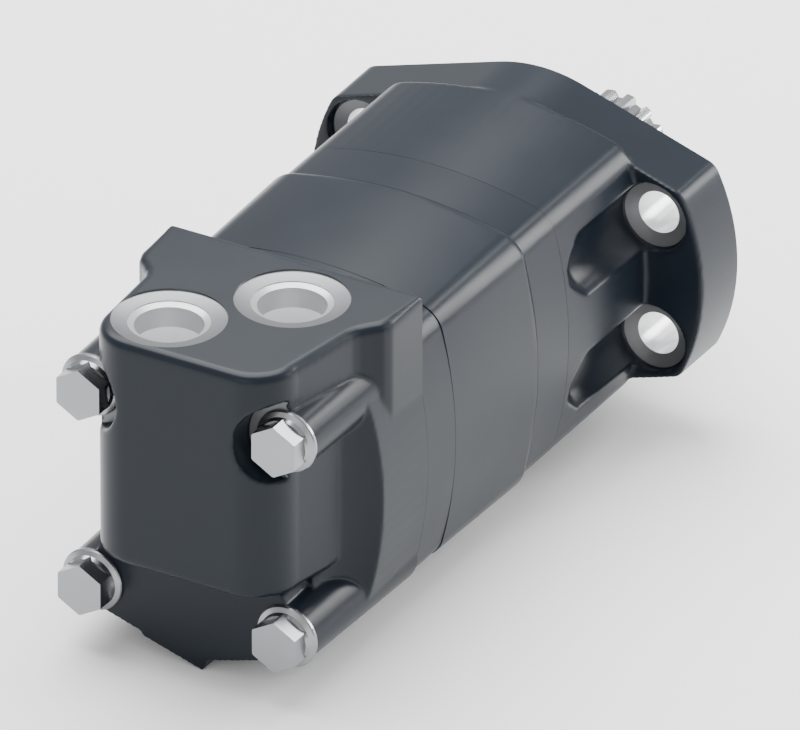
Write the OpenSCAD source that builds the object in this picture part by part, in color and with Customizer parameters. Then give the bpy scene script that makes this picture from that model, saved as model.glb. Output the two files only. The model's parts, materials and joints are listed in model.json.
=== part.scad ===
// Orbital hydraulic motor with a four-bolt flange, side ports and a splined output shaft.
// Y runs along the shaft towards its splined end, Z points up at the ports.
// The origin is the centre of the flange's mounting face.

/* [Body] */
// Distance between neighbouring long bolts
bolt_pitch = 65; // [64:0.25:67]
// Distance from the shaft axis to the middle of a crowned side
side_half = 46.4; // [45.6:0.1:47.5]
// Radius of the body's corners round the long bolts
corner_r = 9.6; // [9.2:0.1:10.2]

/* [Lengths along the shaft] */
// Thickness of the mounting flange
flange_t = 21; // [19:0.5:25]
// Length of the bearing housing behind the flange
neck_len = 44; // [43:0.5:52]
// Thickness of the wear plate
wear_t = 18; // [16:0.5:24]
// Length of the gerotor ring, which sets the displacement
ring_len = 48; // [46:0.5:60]
// Thickness of the valve plate
plate_t = 16; // [13:0.5:18]
// Length of the port housing between its joint and the bolt heads
port_len = 56.5; // [55.5:0.5:62]
// How far the port block stands in front of the bolt bosses
block_step = 9.7; // [7:0.1:12]

/* [Mounting flange] */
// Wall of the flange outside the mounting holes
flange_wall = 6.25; // [5.75:0.05:8]
// Radius of the flange's top and bottom
flange_top_r = 47.1; // [46.5:0.1:49]
// Slope of the flange's straight edges
flange_slope = 17.6; // [16:0.1:19]
// Radius of the flange's four outer corners
flange_corner_r = 5.5; // [3:0.5:7]
// Bolt circle of the mounting holes
mount_circle = 106.4; // [105.5:0.1:107.5]
// Angle of the mounting holes from the horizontal
mount_angle = 22.5; // [21.5:0.5:23.5]
// Diameter of the mounting holes
mount_hole_d = 13.5; // [11:0.1:14.5]
// Diameter of the scoop behind each mounting hole
scoop_d = 22.3; // [20:0.1:22.4]
// Depth of each scoop's seat below the flange's rear face
scoop_seat = 2.7; // [1:0.1:4]
// Diameter of the pilot
pilot_d = 82.5; // [78:0.1:84]
// Height of the pilot
pilot_h = 6; // [5.9:0.1:8]

/* [Port block] */
// Height of the port face above the shaft axis
port_face = 55.2; // [54:0.1:58]
// Half width of the block at its front, left side
block_left = 30.5; // [30:0.1:31.5]
// Half width of the block at its front, right side
block_right = 33.5; // [32:0.1:34]
// Half width of the block's shoulder, left side
shoulder_left = 40; // [38.5:0.1:41]
// Half width of the block's shoulder, right side
shoulder_right = 44.5; // [42:0.1:45]
// Radius of the block's upright front corners
block_corner_r = 14; // [10:0.5:15]
// Sideways distance from the centre plane to each port
port_side = 12.5; // [12:0.1:13]
// Distance from the bolt bosses to the first port
port_a_back = 9.6; // [9:0.1:11]
// Distance between the two ports along the shaft
port_step = 27.4; // [26.5:0.1:29]
// Diameter of the spotface round each port
spotface_d = 34; // [30:0.5:35]
// Diameter of the port thread's bore
port_bore_d = 20.4; // [16:0.1:22]
// Depth of the port thread
port_depth = 19; // [17:0.5:20]
// Diameter of the passage below each port
passage_d = 15; // [12:0.5:15]

/* [Long bolts] */
// Diameter of the bolts
bolt_d = 9.52; // [8:0.1:10]
// Width across the flats of the bolt heads
bolt_flats = 14.29; // [13:0.1:15]
// Height of the hexagon
bolt_hex_h = 6.5; // [5:0.1:8]
// Diameter of the flange under the hexagon
bolt_flange_d = 19.8; // [17:0.1:20]
// Thickness of that flange
bolt_flange_t = 2; // [1.5:0.1:2.5]
// How far the bolts screw into the bearing housing
thread_len = 23; // [16:0.5:24]

/* [Gerotor] */
// Radius of the circle that the roller centres lie on
roller_circle = 29.5; // [29:0.1:29.8]
// Radius of the gerotor rollers
roller_r = 6.8; // [6.5:0.05:7]
// How far the star's centre orbits off the axis
orbit_r = 3; // [2.7:0.05:3.1]
// Gap between the star and the rollers
star_gap = 0.1; // [0.05:0.01:0.2]

/* [Drives] */
// Tip radius of the splines in the star and the shaft
drive_tip_r = 14; // [13.5:0.1:14.2]
// Root radius of those splines
drive_root_r = 12; // [11.6:0.1:12.3]
// Radius of the main drive's waist
drive_waist_r = 9.5; // [8:0.1:10]
// Tip radius of the small spline in the disc valve
valve_tip_r = 9.5; // [9:0.1:10]
// Radius of the valve drive's waist
valve_waist_r = 6.8; // [5.5:0.1:7.2]
// Gap round the drives' teeth, which lets them tilt
spline_gap = 0.6; // [0.55:0.01:0.7]

/* [Disc valve] */
// Radius of the disc valve
disc_r = 26; // [25.5:0.1:26.5]
// Thickness of the disc valve
disc_t = 24; // [22:0.5:26]
// Radius of the bore round the disc valve
valve_bore_r = 30.5; // [30:0.1:31]

/* [Shaft and bearings] */
// Tip diameter of the output spline
spline_d = 31.75; // [29:0.05:32]
// Distance from the mounting face to the end of the shaft
shaft_out = 48; // [42:0.5:60]
// Length of the output spline
spline_len = 33; // [24:0.5:34]
// Radius of the shaft at the front bearing and the seals
front_seat_r = 17.45; // [16.5:0.05:17.8]
// Radius of the shaft at the rear bearing
rear_seat_r = 22.6; // [22:0.05:22.8]
// Outer radius of the front bearing
front_cup_r = 32.5; // [31:0.1:33.5]
// Outer radius of the rear bearing
rear_cup_r = 36.7; // [36:0.1:37]
// Width of the front bearing
front_w = 18; // [17.5:0.1:18.5]
// Width of the rear bearing
rear_w = 19; // [18.5:0.1:19.5]

/* [Fits] */
// Gap of a running fit
run_gap = 0.05; // [0.03:0.01:0.08]
// Gap of a seated piece
seat_gap = 0.02; // [0.01:0.01:0.04]

/* [Hidden] */
$fn = 64;

// Stations along the shaft, from the mounting face back to the port block
y_flange = -flange_t;
y_neck = y_flange - neck_len;
y_wear = y_neck - wear_t;
y_ring = y_wear - ring_len;
y_plate = y_ring - plate_t;
y_boss = y_plate - port_len;
y_front = y_boss - block_step;
over = 1;

// Body section
bolt_at = bolt_pitch / 2;
bolt_places = [for (sx = [-1, 1], sz = [-1, 1]) [sx * bolt_at, sz * bolt_at]];
bolt_hole_r = bolt_d / 2 + 0.35;
thread_hole_r = bolt_d / 2 + 0.04;
boss_r = corner_r - 0.4;
boss_end_r = corner_r + 0.8;
crown_inner = side_half - corner_r;
crown_back = (2 * bolt_at * bolt_at - crown_inner * crown_inner) / (2 * (crown_inner - bolt_at));
crown_r = side_half + crown_back;
crown_turn = atan2(bolt_at, bolt_at + crown_back);

// Mounting holes and their scoops
mount_x = mount_circle / 2 * cos(mount_angle);
mount_z = mount_circle / 2 * sin(mount_angle);
scoop_r = scoop_d / 2;
flange_r = mount_circle / 2 + mount_hole_d / 2 + flange_wall;
scoop_start = y_neck + 12;

// Joint seals lie in grooves between the roller pockets and the bolts
seal_inner_r = 37.6;
seal_wide = 2;
seal_deep = 1.6;

// Ports
port_a = [-port_side, y_boss + port_a_back];
port_b = [port_side, y_boss + port_a_back + port_step];
spotface_deep = 0.8;

// Stepped bore of the port housing
disc_back = y_plate - disc_t;
ring_flange_t = 9.5;
bore_1_end = disc_back - ring_flange_t - 0.5;
bore_2_r = 21.5;
bore_2_end = bore_1_end - 9;
bore_3_r = 10;
bore_3_end = bore_2_end - 8;
spring_circle = 26;
channel_circle = 16.4;

// Underside of the port housing: a shallow V with the drain pad on its left slope
v_slope = 16.5;
v_depth = 50.9;
pad_rise = 1.1;
pad_half = 10.9;
pad_len = 19;
drain_x = -6.4;
drain_y = bore_2_end - 4.5;
drain_r = 5.5;
plug_head_r = 7;
plug_head_t = 2.6;
plug_seal_t = 1.8;
plug_seat = -pad_rise + plug_head_t + plug_seal_t;
plug_len = 12;

// The port housing narrows to a waist in front of its full section
waist_r = 19;
waist_y = y_plate - 44;
block_low = -19;
head_clear_r = 12.8;

// Gerotor
roller_count = 7;
lobe_count = roller_count - 1;
ring_bore_r = roller_circle + 0.5;
rotor_len = ring_len - 2 * run_gap;

// Drives
drive_teeth = 12;
valve_teeth = 10;
star_main_y = y_wear - 14;
shaft_main_y = y_neck + 17;
star_valve_y = y_ring + 10;
disc_valve_y = y_plate - 13;
main_head = 16;
valve_head = 10;
button_r = 3;
button_h = 1.6;
spacer_gap = 0.3;
spacer_front = star_main_y - main_head / 2 - button_h - spacer_gap;
spacer_rear = star_valve_y + valve_head / 2 + button_h + spacer_gap;
spacer_r = drive_root_r + spline_gap - 2 * run_gap;

// Bearings: half angles of the cone race, the roller axis and the cup race
cone_half = 8.5;
roller_half = 10.5;
cup_half = 12.5;
bearing_roller_r = 3;
function bearing_roller_len(w) = w - 6.2;
front_back_y = y_flange + 4;
front_pitch_r = front_seat_r + 6;
rear_pitch_r = rear_seat_r + 5.9;
front_roller_count = 16;
rear_roller_count = 20;
shoulder_r = 25;

// Seals round the shaft
seal_bore_r = 24;
washer_y = front_back_y + 4;
washer_t = 1.8;
seal_t = 8;
circlip_t = 1.6;

// Points on an arc, both ends included
function arc(cx, cz, r, a0, a1, steps) =
    [for (i = [0:steps]) let (a = a0 + (a1 - a0) * i / steps) [cx + r * cos(a), cz + r * sin(a)]];

function turned(p, a) = [p[0] * cos(a) - p[1] * sin(a), p[0] * sin(a) + p[1] * cos(a)];

// Rounded square with crowned sides, tangent to corners round the bolts
function body_outline() =
    [for (k = [0:3], p = concat(
        [for (i = [1:6]) let (a = crown_turn * (2 * i / 7 - 1)) [crown_r * cos(a) - crown_back, crown_r * sin(a)]],
        arc(bolt_at, bolt_at, corner_r, crown_turn, 90 - crown_turn, 8))) turned(p, 90 * k)];

// Flange outline: two wide ends, four straight slopes, a rounded top and bottom
fillet_back = flange_r - flange_corner_r;
line_turn = 90 - flange_slope;
fillet_turn = line_turn - acos((flange_top_r - flange_corner_r) / fillet_back);
function flange_quarter() = concat(
    arc(0, 0, flange_r, 0, fillet_turn, 5),
    [for (i = [1:6]) let (a = fillet_turn + (line_turn - fillet_turn) * i / 6)
        [fillet_back * cos(fillet_turn) + flange_corner_r * cos(a),
         fillet_back * sin(fillet_turn) + flange_corner_r * sin(a)]],
    arc(0, 0, flange_top_r, line_turn, 90, 3));
function mirrored(points, sx, sz) = [for (p = points) [p[0] * sx, p[1] * sz]];
function reversed(points) = [for (i = [len(points) - 1:-1:0]) points[i]];
function without_ends(points) = [for (i = [1:len(points) - 2]) points[i]];
function flange_outline() = let (q = flange_quarter()) concat(
    q, without_ends(reversed(mirrored(q, -1, 1))),
    mirrored(q, -1, -1), without_ends(reversed(mirrored(q, 1, -1))));

// Star outline: a cycloid that rolls inside the ring of rollers
function star_point(t) =
    let (n = roller_count, cut = roller_r + star_gap,
         lean = atan2(sin((1 - n) * t), roller_circle / (orbit_r * n) - cos((1 - n) * t)))
    [roller_circle * cos(t) - cut * cos(t + lean) - orbit_r * cos(n * t),
     roller_circle * sin(t) - cut * sin(t + lean) - orbit_r * sin(n * t)];
star_steps = 24 * lobe_count;
// Steps lie closer together in the valleys, where the outline bends most
function star_turn(u) = u - 0.85 * sin(lobe_count * u) / lobe_count * 180 / PI;

// Spline outline with straight-sided teeth
function spline_outline(count, root_r, tip_r, grow) =
    [for (i = [0:count - 1], k = [0:3])
        let (step = 360 / count, half_root = step * 0.30, half_tip = step * 0.17,
             r = (k == 0 || k == 3) ? root_r + grow : tip_r + grow,
             side = k < 2 ? -1 : 1,
             a = i * step + side * ((k == 0 || k == 3) ? half_root : half_tip)
                 + side * atan(grow / r))
        [r * cos(a), r * sin(a)]];

// Solid between two stations along the shaft
module slab(y0, y1) {
    translate([0, y1, 0])
        rotate([90, 0, 0])
            linear_extrude(y1 - y0)
                children();
}

module rod(y0, y1, r0, r1) {
    translate([0, y0, 0])
        rotate([-90, 0, 0])
            cylinder(h = y1 - y0, r1 = r0, r2 = r1);
}

module ring(y0, y1, inner, outer) {
    difference() {
        rod(y0, y1, outer, outer);
        rod(y0 - over, y1 + over, inner, inner);
    }
}

module at_bolts() {
    for (p = bolt_places) translate([p[0], 0, p[1]]) children();
}

module at_mounts() {
    for (sx = [-1, 1], sz = [-1, 1]) translate([sx * mount_x, 0, sz * mount_z]) children();
}

module around(count, radius, first = 0) {
    for (i = [0:count - 1])
        rotate([0, first + i * 360 / count, 0])
            translate([radius, 0, 0])
                children();
}

module body_slab(y0, y1) {
    slab(y0, y1) polygon(body_outline());
}

module bolt_holes(y0, y1) {
    at_bolts() rod(y0 - over, y1 + over, bolt_hole_r, bolt_hole_r);
}

module seal_groove(y0, y1) {
    ring(y0, y1, seal_inner_r, seal_inner_r + seal_wide);
}

// Plan of the port block, seen from above: x sideways, y along the shaft
module block_plan() {
    corner_y = y_front + block_corner_r;
    side_y = y_plate - 28;
    wide_y = y_plate - 16;
    polygon(concat(
        arc(block_corner_r - block_left, corner_y, block_corner_r, 180, 270, 8),
        arc(block_right - block_corner_r, corner_y, block_corner_r, 270, 360, 8),
        [[block_right + 4, side_y], [shoulder_right - 0.6, wide_y - 1.5], [shoulder_right, wide_y],
         [shoulder_right, y_plate], [-shoulder_left, y_plate], [-shoulder_left, wide_y],
         [-shoulder_left + 0.6, wide_y - 1.5], [-block_left - 1.5, side_y]]));
}

// Front outline of the base: a shallow V that runs into the lower bosses
module base_front() {
    side = bolt_at + boss_r * sin(v_slope);
    low = -v_depth + side * tan(v_slope);
    polygon([[-side, low], [0, -v_depth], [side, low], [side - 6, -12], [6 - side, -12]]);
}

// Flat pad on the left slope of the V, round the drain
module drain_pad() {
    translate([drain_x, -v_depth - drain_x * tan(v_slope)])
        rotate(-v_slope)
            translate([-pad_half, -pad_rise])
                square([2 * pad_half, pad_rise + 4]);
}

// Everything that the drain needs stands square to the left slope of the V
module at_drain() {
    translate([drain_x, drain_y, -v_depth - drain_x * tan(v_slope)])
        rotate([0, v_slope, 0])
            children();
}

module port_cut(place) {
    translate([place[0], place[1], 0]) {
        translate([0, 0, port_face - spotface_deep]) cylinder(h = over + spotface_deep, d = spotface_d);
        translate([0, 0, port_face - port_depth]) cylinder(h = port_depth, d = port_bore_d);
        translate([0, 0, port_face - spotface_deep - 2.2])
            cylinder(h = 2.2, r1 = port_bore_d / 2, r2 = port_bore_d / 2 + 1.9);
    }
}

module port_housing() {
    color([0.29, 0.31, 0.34])
    difference() {
        union() {
            translate([0, 0, block_low]) linear_extrude(port_face - block_low) block_plan();
            slab(y_boss, y_boss + pad_len) {
                base_front();
                drain_pad();
            }
            slab(y_boss + pad_len, y_plate) base_front();
            difference() {
                body_slab(waist_y, y_plate);
                for (x = [block_right + waist_r, -block_left - waist_r])
                    translate([x, waist_y, -2 * side_half]) cylinder(h = 4 * side_half, r = waist_r);
            }
            at_bolts() rod(y_boss, y_plate, boss_r, boss_end_r);
        }
        rod(bore_1_end, y_plate + over, valve_bore_r, valve_bore_r);
        rod(bore_2_end, bore_1_end + over, bore_2_r, bore_2_r);
        rod(bore_3_end, bore_2_end + over, bore_3_r, bore_3_r);
        bolt_holes(y_boss, y_plate);
        at_bolts() rod(y_front - over, y_boss, head_clear_r, head_clear_r);
        port_cut(port_a);
        port_cut(port_b);
        translate([port_a[0], port_a[1], 12]) cylinder(h = port_face - 12, d = passage_d);
        translate([port_b[0], port_b[1], 24]) cylinder(h = port_face - 24, d = passage_d);
        around(2, spring_circle, 45) rod(bore_1_end - 5, bore_1_end + over, 2 + seat_gap, 2 + seat_gap);
        at_drain() {
            translate([0, 0, -pad_rise - over])
                cylinder(h = plug_seat + pad_rise + over, r = plug_head_r + seat_gap);
            cylinder(h = plug_len + 1, r = drain_r);
            cylinder(h = v_depth - 5.5, r = 2);
        }
    }
}

module valve_plate() {
    color([0.30, 0.32, 0.35])
    difference() {
        body_slab(y_plate, y_ring);
        rod(y_plate - over, y_ring + over, 11.2, 11.2);
        around(roller_count, 21.2, 180 / roller_count) rod(y_plate - over, y_ring + over, 2.4, 2.4);
        bolt_holes(y_plate, y_ring);
        seal_groove(y_plate - over, y_plate + seal_deep);
        seal_groove(y_ring - seal_deep, y_ring + over);
    }
}

module gerotor_ring() {
    color([0.30, 0.32, 0.35])
    difference() {
        union() {
            body_slab(y_ring, y_wear);
            at_bolts() rod(y_ring, y_wear - 3, corner_r + 0.3, corner_r + 1.2);
        }
        rod(y_ring - over, y_wear + over, ring_bore_r, ring_bore_r);
        around(roller_count, roller_circle)
            rod(y_ring - over, y_wear + over, roller_r + run_gap, roller_r + run_gap);
        bolt_holes(y_ring, y_wear);
    }
}

module wear_plate() {
    color([0.30, 0.32, 0.35])
    difference() {
        body_slab(y_wear, y_neck);
        rod(y_wear - over, y_neck + over, 16, 16);
        bolt_holes(y_wear, y_neck);
        seal_groove(y_wear - over, y_wear + seal_deep);
        seal_groove(y_neck - seal_deep, y_neck + over);
    }
}

module bearing_housing() {
    color([0.29, 0.31, 0.34])
    difference() {
        union() {
            body_slab(y_neck, y_flange + over);
            slab(y_flange, 0) polygon(flange_outline());
            rod(-over, pilot_h, pilot_d / 2, pilot_d / 2);
        }
        at_mounts() {
            rod(y_flange - over, over, mount_hole_d / 2, mount_hole_d / 2);
            rod(scoop_start, y_flange + scoop_seat, scoop_r, scoop_r);
            rod(scoop_start - 9, scoop_start, scoop_r - 6, scoop_r);
        }
        rod(y_neck - over, y_neck + rear_w + 2, rear_cup_r + seat_gap, rear_cup_r + seat_gap);
        rod(y_neck, front_back_y, front_cup_r + seat_gap, front_cup_r + seat_gap);
        rod(front_back_y - over, washer_y, seal_bore_r + 3, seal_bore_r + 3);
        rod(washer_y - over, pilot_h + over, seal_bore_r, seal_bore_r);
        ring(washer_y + washer_t + seal_t + 0.4, washer_y + washer_t + seal_t + 0.4 + circlip_t,
             seal_bore_r - over, seal_bore_r + 1.5);
        at_bolts() rod(y_neck - over, y_neck + thread_len + 2, thread_hole_r, thread_hole_r);
    }
}

module housing_bolts() {
    color([0.72, 0.74, 0.76])
    at_bolts() {
        hex_y = y_boss - bolt_flange_t - bolt_hex_h;
        rod(y_boss, y_neck + thread_len, bolt_d / 2, bolt_d / 2);
        rod(y_boss - bolt_flange_t, y_boss, bolt_flange_d / 2 - 0.6, bolt_flange_d / 2);
        intersection() {
            slab(hex_y, y_boss - bolt_flange_t)
                rotate(30) circle(r = bolt_flats / 2 / cos(30), $fn = 6);
            rod(hex_y, y_boss, bolt_flats / 2 + 0.5, bolt_flats / 2 + 8.5);
        }
    }
}

module body_seals() {
    color([0.12, 0.12, 0.13]) {
        for (y = [y_plate, y_neck - seal_deep, y_ring - seal_deep, y_wear])
            ring(y + seat_gap, y + seal_deep - seat_gap,
                 seal_inner_r + seat_gap, seal_inner_r + seal_wide - seat_gap);
    }
}

module drain_plug() {
    color([0.66, 0.68, 0.70])
    at_drain() difference() {
        union() {
            translate([0, 0, -pad_rise]) cylinder(h = plug_head_t, r = plug_head_r);
            translate([0, 0, -pad_rise]) cylinder(h = plug_len, r = drain_r - seat_gap);
        }
        translate([0, 0, -pad_rise - over]) cylinder(h = 5 + over, r = 3.2, $fn = 6);
    }
}

module drain_plug_seal() {
    color([0.12, 0.12, 0.13])
    at_drain() difference() {
        translate([0, 0, plug_seat - plug_seal_t + seat_gap])
            cylinder(h = plug_seal_t - 2 * seat_gap, r = plug_head_r - seat_gap);
        translate([0, 0, -pad_rise]) cylinder(h = plug_len, r = drain_r + seat_gap);
    }
}

module disc_valve() {
    color([0.62, 0.62, 0.64])
    difference() {
        rod(disc_back, y_plate - run_gap, disc_r, disc_r);
        slab(disc_back - over, y_plate + over)
            polygon(spline_outline(valve_teeth, valve_tip_r - 1.6, valve_tip_r, spline_gap));
        for (i = [0:lobe_count - 1]) {
            rotate([0, i * 60, 0]) translate([14.6, y_plate - 9, -2.2]) cube([9, 9 + over, 4.4]);
            rotate([0, i * 60 + 30, 0]) translate([18, y_plate - 8, -2.2]) cube([disc_r, 8 + over, 4.4]);
            rotate([0, i * 60, 0]) translate([channel_circle, 0, 0]) rod(disc_back - over, y_plate - 8, 1.8, 1.8);
        }
        ring(disc_back - over, disc_back + 2, channel_circle - 2.2, channel_circle + 2.2);
    }
}

module balance_ring() {
    color([0.60, 0.56, 0.50])
    difference() {
        union() {
            rod(disc_back - ring_flange_t, disc_back - run_gap, valve_bore_r - run_gap, valve_bore_r - run_gap);
            rod(bore_2_end + 2, disc_back - ring_flange_t, bore_2_r - run_gap, bore_2_r - run_gap);
            rod(bore_2_end - 3, bore_2_end + 2, bore_3_r - run_gap, bore_3_r - run_gap);
        }
        rod(bore_3_end - over, disc_back + over, 6.2, 6.2);
        rod(disc_back - 6, disc_back + over, 11, 11);
        around(6, channel_circle) rod(bore_2_end, disc_back + over, 1.9, 1.9);
        around(4, spring_circle) rod(bore_1_end - over, bore_1_end + 7, 3.1, 3.1);
        around(2, spring_circle, 45) rod(bore_1_end - over, bore_1_end + 6, 2 + seat_gap, 2 + seat_gap);
        ring(bore_1_end - 5, bore_1_end - 2.6, bore_2_r - 1.8, bore_2_r + over);
        ring(bore_2_end - 2.4, bore_2_end - 0.4, bore_3_r - 1.7, bore_3_r + over);
    }
}

// One spring as a helical sweep of a five-sided wire
module coil(y0, y1, mean_r, wire_r, turns) {
    per_turn = 10;
    n = 5;
    count = turns * per_turn;
    points = [for (i = [0:count], k = [0:n - 1])
        let (a = 360 * i / per_turn, r = mean_r + wire_r * cos(360 / n * k),
             y = y0 + wire_r + (y1 - y0 - 2 * wire_r) * i / count + wire_r * sin(360 / n * k))
        [r * cos(a), y, -r * sin(a)]];
    sides = [for (i = [0:count - 1], k = [0:n - 1]) let (m = (k + 1) % n)
        [n * i + k, n * i + m, n * (i + 1) + m, n * (i + 1) + k]];
    polyhedron(points, concat(sides, [[for (k = [n - 1:-1:0]) k]], [[for (k = [0:n - 1]) n * count + k]]));
}

module balance_springs() {
    color([0.70, 0.71, 0.72])
    around(4, spring_circle) coil(bore_1_end + seat_gap, bore_1_end + 7 - seat_gap, 2.3, 0.45, 4);
}

module balance_pins() {
    color([0.66, 0.67, 0.68])
    around(2, spring_circle, 45) rod(bore_1_end - 5 + seat_gap, bore_1_end + 5.5, 2, 2);
}

module balance_outer_seal() {
    color([0.12, 0.12, 0.13])
    ring(bore_1_end - 5 + seat_gap, bore_1_end - 2.6 - seat_gap,
         bore_2_r - 1.8 + seat_gap, bore_2_r - seat_gap);
}

module balance_inner_seal() {
    color([0.12, 0.12, 0.13])
    ring(bore_2_end - 2.4 + seat_gap, bore_2_end - 0.4 - seat_gap,
         bore_3_r - 1.7 + seat_gap, bore_3_r - seat_gap);
}

// Places a drive on the line between its seat in the star and its seat on the axis
module tilted(star_y, axis_y) {
    lean = atan2(orbit_r, axis_y - star_y);
    translate([orbit_r, star_y, 0]) rotate([0, 0, lean]) children();
}

// Crowned spline head, so that its ends stay clear when the drive tilts
module spline_head(y, len, count, root_r, tip_r) {
    intersection() {
        slab(y - len / 2, y + len / 2) polygon(spline_outline(count, root_r, tip_r, 0));
        union() {
            rod(y - len / 2, y, tip_r - 0.5, tip_r + 0.1);
            rod(y, y + len / 2, tip_r + 0.1, tip_r - 0.5);
        }
    }
}

module main_drive() {
    reach = sqrt(pow(shaft_main_y - star_main_y, 2) + orbit_r * orbit_r);
    half = main_head / 2;
    color([0.55, 0.57, 0.60])
    tilted(star_main_y, shaft_main_y) {
        spline_head(0, main_head, drive_teeth, drive_root_r, drive_tip_r);
        spline_head(reach, main_head, drive_teeth, drive_root_r, drive_tip_r);
        rod(half - 0.5, half + 4, drive_root_r - 0.6, drive_waist_r);
        rod(half + 4 - 0.01, reach - half - 4 + 0.01, drive_waist_r, drive_waist_r);
        rod(reach - half - 4, reach - half + 0.5, drive_waist_r, drive_root_r - 0.6);
        rod(-half - button_h, -half + 1, button_r, button_r);
        rod(reach + half - 1, reach + half + button_h, button_r, button_r);
    }
}

module valve_drive() {
    reach = sqrt(pow(disc_valve_y - star_valve_y, 2) + orbit_r * orbit_r);
    half = valve_head / 2;
    color([0.55, 0.57, 0.60])
    tilted(star_valve_y, disc_valve_y) {
        spline_head(0, valve_head, drive_teeth, drive_root_r, drive_tip_r);
        spline_head(reach, valve_head, valve_teeth, valve_tip_r - 1.6, valve_tip_r);
        rod(half - 0.5, half + 4, drive_root_r - 0.6, valve_waist_r);
        rod(half + 4 - 0.01, reach - half + 0.5, valve_waist_r, valve_waist_r);
        rod(-half - button_h, -half + 1, button_r, button_r);
    }
}

module drive_spacer() {
    color([0.55, 0.57, 0.60])
    translate([orbit_r, 0, 0])
        rod(spacer_rear, spacer_front, spacer_r, spacer_r);
}

module star() {
    color([0.66, 0.67, 0.68])
    translate([orbit_r, 0, 0])
        difference() {
            slab(y_ring + run_gap, y_wear - run_gap)
                polygon([for (i = [0:star_steps - 1]) star_point(star_turn(i * 360 / star_steps))]);
            slab(y_ring - over, y_wear + over)
                polygon(spline_outline(drive_teeth, drive_root_r, drive_tip_r, spline_gap));
        }
}

module gerotor_roller(index) {
    color([0.76, 0.77, 0.78])
    rotate([0, -index * 360 / roller_count, 0])
        translate([roller_circle, 0, 0])
            difference() {
                rod(y_ring + run_gap, y_wear - run_gap, roller_r, roller_r);
                rod(y_ring - over, y_ring + 1.2, 2.2, 1.6);
                rod(y_wear - 1.2, y_wear + over, 1.6, 2.2);
            }
}

module output_shaft() {
    bore_end = shaft_main_y + main_head / 2 + button_h + 1;
    rear_end = y_neck + 1.5;
    shoulder_0 = y_neck + rear_w;
    shoulder_1 = front_back_y - front_w;
    neck_y = shaft_out - spline_len;
    color([0.74, 0.75, 0.77])
    difference() {
        union() {
            rod(rear_end, shoulder_0 + over, rear_seat_r - seat_gap, rear_seat_r - seat_gap);
            rod(shoulder_0 + run_gap, shoulder_1 - run_gap, shoulder_r, shoulder_r);
            rod(shoulder_1 - over, neck_y - 3, front_seat_r - seat_gap, front_seat_r - seat_gap);
            rod(neck_y - 3, neck_y, front_seat_r - seat_gap, spline_d / 2 + 0.3);
            intersection() {
                slab(neck_y - over, shaft_out)
                    polygon(spline_outline(14, spline_d / 2 - 2.3, spline_d / 2, 0));
                rod(neck_y - over, shaft_out, spline_d / 2 + 20, spline_d / 2 - 0.6);
            }
        }
        slab(rear_end - over, bore_end)
            polygon(spline_outline(drive_teeth, drive_root_r, drive_tip_r, spline_gap));
        rod(rear_end - over, rear_end + 1.5, drive_tip_r + 3.4, drive_tip_r + 0.9);
        rod(shaft_out - 12, shaft_out + over, 4.2, 4.2);
    }
}

// Taper bearing parts stand on their back face at z = 0 and open towards +z
function race_r(pitch_r, side, half, w, z) =
    pitch_r + side * bearing_roller_r / cos(roller_half) + (z - w / 2) * tan(half);

module bearing_cup(pitch_r, outer_r, w) {
    rotate_extrude()
        polygon([
            [race_r(pitch_r, 1, cup_half, w, 0), 0], [outer_r, 0], [outer_r, w - 1],
            [outer_r - 1, w - 0.4], [race_r(pitch_r, 1, cup_half, w, w - 0.4), w - 0.4]]);
}

module bearing_cone(pitch_r, bore_r, w) {
    small = race_r(pitch_r, -1, cone_half, w, 2.4);
    large = race_r(pitch_r, -1, cone_half, w, w - 2.4);
    rotate_extrude()
        polygon([
            [bore_r, 0], [small + 0.9, 0], [small + 0.9, 2.4], [small, 2.4],
            [large, w - 2.4], [large + 2.3, w - 2.4], [large + 2.3, w], [bore_r, w]]);
}

module roller_place(pitch_r, w, count) {
    for (i = [0:count - 1])
        rotate([0, 0, i * 360 / count])
            translate([pitch_r, 0, w / 2])
                rotate([0, roller_half, 0])
                    children();
}

module bearing_roller(len, grow) {
    slim = len / 2 * tan((cup_half - cone_half) / 2);
    cylinder(h = len, r1 = bearing_roller_r - slim + grow, r2 = bearing_roller_r + slim + grow, center = true);
}

module bearing_cage(pitch_r, w, count) {
    low = w / 2 - 7.7;
    high = w / 2 + 7.6;
    difference() {
        rotate_extrude()
            polygon([for (q = [[low, -0.5], [low, 0.5], [high, 0.5], [high, -0.5]])
                [pitch_r + q[1] + (q[0] - w / 2) * tan(roller_half), q[0]]]);
        roller_place(pitch_r, w, count) bearing_roller(bearing_roller_len(w) + 0.6, 0.2);
    }
}

module at_front_bearing() {
    translate([0, front_back_y, 0]) rotate([90, 0, 0]) children();
}

module at_rear_bearing() {
    translate([0, y_neck, 0]) rotate([-90, 0, 0]) children();
}

module front_cup() {
    color([0.78, 0.79, 0.80]) at_front_bearing() bearing_cup(front_pitch_r, front_cup_r, front_w);
}

module front_cone() {
    color([0.78, 0.79, 0.80]) at_front_bearing() bearing_cone(front_pitch_r, front_seat_r, front_w);
}

module front_rollers() {
    color([0.82, 0.83, 0.84])
    at_front_bearing()
        roller_place(front_pitch_r, front_w, front_roller_count)
            bearing_roller(bearing_roller_len(front_w), -run_gap);
}

module front_cage() {
    color([0.60, 0.61, 0.62])
    at_front_bearing() bearing_cage(front_pitch_r, front_w, front_roller_count);
}

module rear_cup() {
    color([0.78, 0.79, 0.80]) at_rear_bearing() bearing_cup(rear_pitch_r, rear_cup_r, rear_w);
}

module rear_cone() {
    color([0.78, 0.79, 0.80]) at_rear_bearing() bearing_cone(rear_pitch_r, rear_seat_r, rear_w);
}

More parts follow.
